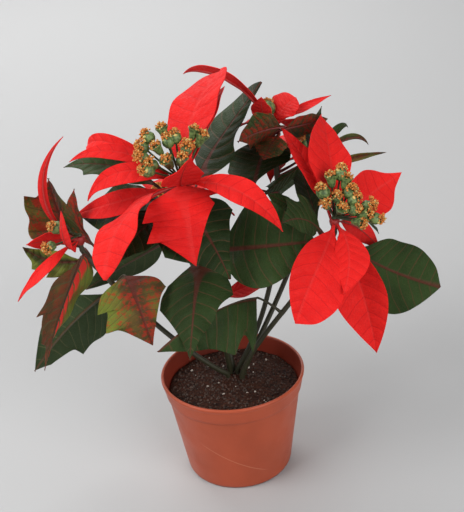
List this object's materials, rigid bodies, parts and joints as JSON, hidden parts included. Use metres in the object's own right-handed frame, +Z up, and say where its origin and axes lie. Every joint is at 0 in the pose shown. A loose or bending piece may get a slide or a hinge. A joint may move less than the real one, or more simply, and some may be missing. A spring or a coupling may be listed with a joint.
{
  "type": "poinsettia in a plastic pot",
  "caption": "Decorative poinsettia: thin branching stems with lobed leaves and flower heads of red bracts, set in a round tapered pot with a collar.",
  "frame": {"origin": "middle of the pot's flat underside", "axes": "+Z up along the pot's axis; -Y is the front, the side the picture was taken from; +X is the right as seen from the front"},
  "size_m": [0.3677, 0.2393, 0.3671],
  "materials": {
    "pot": "satin moulded terracotta-coloured plastic",
    "soil": "dark granular fill",
    "leaf": "matte veined leaf",
    "bract": "matte crinkled red bract",
    "cup": "matte green bud with yellow tips"
  },
  "bodies": {
    "root": {"pot": "pot", "soil": "soil", "low_bract": "bract", "leafy_stem_a": "leaf", "leafy_stem_b": "leaf", "leafy_stem_c": "leaf", "leafy_stem_d": "leaf", "leafy_stem_e": "leaf", "leafy_stem_f": "leaf", "bracts_a": "bract", "bracts_b": "bract", "bracts_c": "bract", "bracts_d": "bract", "bracts_e": "bract", "bracts_f": "bract", "cyathia_a": "cup", "cyathia_b": "cup", "cyathia_c": "cup", "cyathia_d": "cup", "cyathia_e": "cup", "cyathia_f": "cup"}
  },
  "joints": []
}
